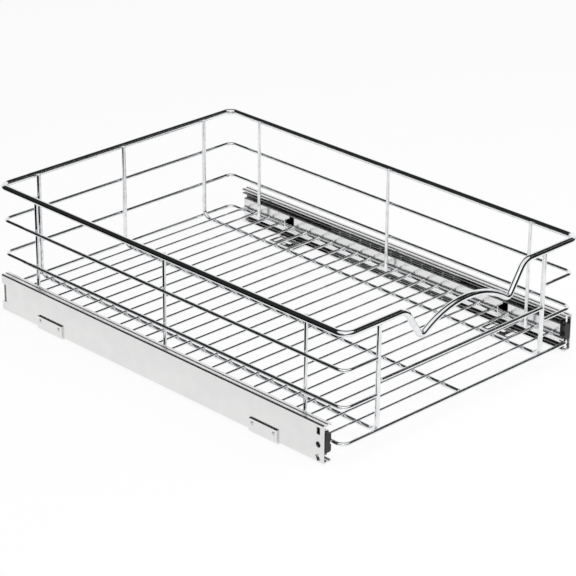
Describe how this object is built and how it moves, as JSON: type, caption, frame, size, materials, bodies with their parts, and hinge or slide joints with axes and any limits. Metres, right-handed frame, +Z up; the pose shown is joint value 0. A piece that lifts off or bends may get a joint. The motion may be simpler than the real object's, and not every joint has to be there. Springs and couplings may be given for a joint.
{
  "type": "pull-out cabinet organizer",
  "caption": "Chrome wire pull-out basket for a kitchen cabinet, with a handle bent into its front rail, on full-extension ball slides with screw-down feet.",
  "frame": {"origin": "on the cabinet floor, under the middle of the basket", "axes": "+X to the right of the person who pulls it, -Y towards that person, +Z up"},
  "size_m": [0.3814, 0.533, 0.1439],
  "materials": {
    "chrome_wire": "bright chrome plated wire",
    "zinc_steel": "satin zinc plated sheet",
    "cage_steel": "dark greased sheet",
    "ball_steel": "polished balls",
    "black_plastic": "moulded satin black"
  },
  "bodies": {
    "slide_base": {"left_outer_member": "zinc_steel", "left_front_foot": "zinc_steel", "left_rear_foot": "zinc_steel", "left_foot_rivets": "zinc_steel", "right_outer_member": "zinc_steel", "right_front_foot": "zinc_steel", "right_rear_foot": "zinc_steel", "right_foot_rivets": "zinc_steel"},
    "basket": {"base_frame": "chrome_wire", "centre_runner_wire": "chrome_wire", "floor_wire_01": "chrome_wire", "floor_wire_02": "chrome_wire", "floor_wire_03": "chrome_wire", "floor_wire_04": "chrome_wire", "floor_wire_05": "chrome_wire", "floor_wire_06": "chrome_wire", "floor_wire_07": "chrome_wire", "floor_wire_08": "chrome_wire", "floor_wire_09": "chrome_wire", "floor_wire_10": "chrome_wire", "floor_wire_11": "chrome_wire", "floor_wire_12": "chrome_wire", "floor_wire_13": "chrome_wire", "floor_wire_14": "chrome_wire", "floor_wire_15": "chrome_wire", "floor_wire_16": "chrome_wire", "floor_wire_17": "chrome_wire", "floor_wire_18": "chrome_wire", "floor_wire_19": "chrome_wire", "floor_wire_20": "chrome_wire", "floor_wire_21": "chrome_wire", "floor_wire_22": "chrome_wire", "floor_wire_23": "chrome_wire", "floor_wire_24": "chrome_wire", "front_bar": "chrome_wire", "left_end_cap": "black_plastic", "left_front_post": "chrome_wire", "left_inner_member": "zinc_steel", "left_middle_post": "chrome_wire", "left_rear_post": "chrome_wire", "left_runner_wire": "chrome_wire", "lower_side_wire": "chrome_wire", "right_end_cap": "black_plastic", "right_front_post": "chrome_wire", "right_inner_member": "zinc_steel", "right_middle_post": "chrome_wire", "right_rear_post": "chrome_wire", "right_runner_wire": "chrome_wire", "top_rail": "chrome_wire", "upper_side_wire": "chrome_wire"},
    "left_middle_slide": {"left_middle_member": "zinc_steel"},
    "left_outer_cage": {"left_outer_ball_cage": "cage_steel", "left_outer_balls": "ball_steel"},
    "left_inner_cage": {"left_inner_ball_cage": "cage_steel", "left_inner_balls": "ball_steel"},
    "right_middle_slide": {"right_middle_member": "zinc_steel"},
    "right_outer_cage": {"right_outer_ball_cage": "cage_steel", "right_outer_balls": "ball_steel"},
    "right_inner_cage": {"right_inner_ball_cage": "cage_steel", "right_inner_balls": "ball_steel"}
  },
  "joints": [
    {"name": "basket_slide", "type": "slide", "parent": "slide_base", "child": "basket", "axis": [0, -1, 0], "range_m": [0, 0.498]},
    {"name": "left_middle_slide_travel", "type": "slide", "parent": "slide_base", "child": "left_middle_slide", "axis": [0, -1, 0], "range_m": [0, 0.249]},
    {"name": "left_outer_cage_travel", "type": "slide", "parent": "slide_base", "child": "left_outer_cage", "axis": [0, -1, 0], "range_m": [0, 0.1245]},
    {"name": "left_inner_cage_travel", "type": "slide", "parent": "slide_base", "child": "left_inner_cage", "axis": [0, -1, 0], "range_m": [0, 0.3735]},
    {"name": "right_middle_slide_travel", "type": "slide", "parent": "slide_base", "child": "right_middle_slide", "axis": [0, -1, 0], "range_m": [0, 0.249]},
    {"name": "right_outer_cage_travel", "type": "slide", "parent": "slide_base", "child": "right_outer_cage", "axis": [0, -1, 0], "range_m": [0, 0.1245]},
    {"name": "right_inner_cage_travel", "type": "slide", "parent": "slide_base", "child": "right_inner_cage", "axis": [0, -1, 0], "range_m": [0, 0.3735]}
  ],
  "couplings": [
    {"joint": "left_middle_slide_travel", "follows": "basket_slide", "ratio": 0.5},
    {"joint": "left_outer_cage_travel", "follows": "basket_slide", "ratio": 0.25},
    {"joint": "left_inner_cage_travel", "follows": "basket_slide", "ratio": 0.75},
    {"joint": "right_middle_slide_travel", "follows": "basket_slide", "ratio": 0.5},
    {"joint": "right_outer_cage_travel", "follows": "basket_slide", "ratio": 0.25},
    {"joint": "right_inner_cage_travel", "follows": "basket_slide", "ratio": 0.75}
  ]
}
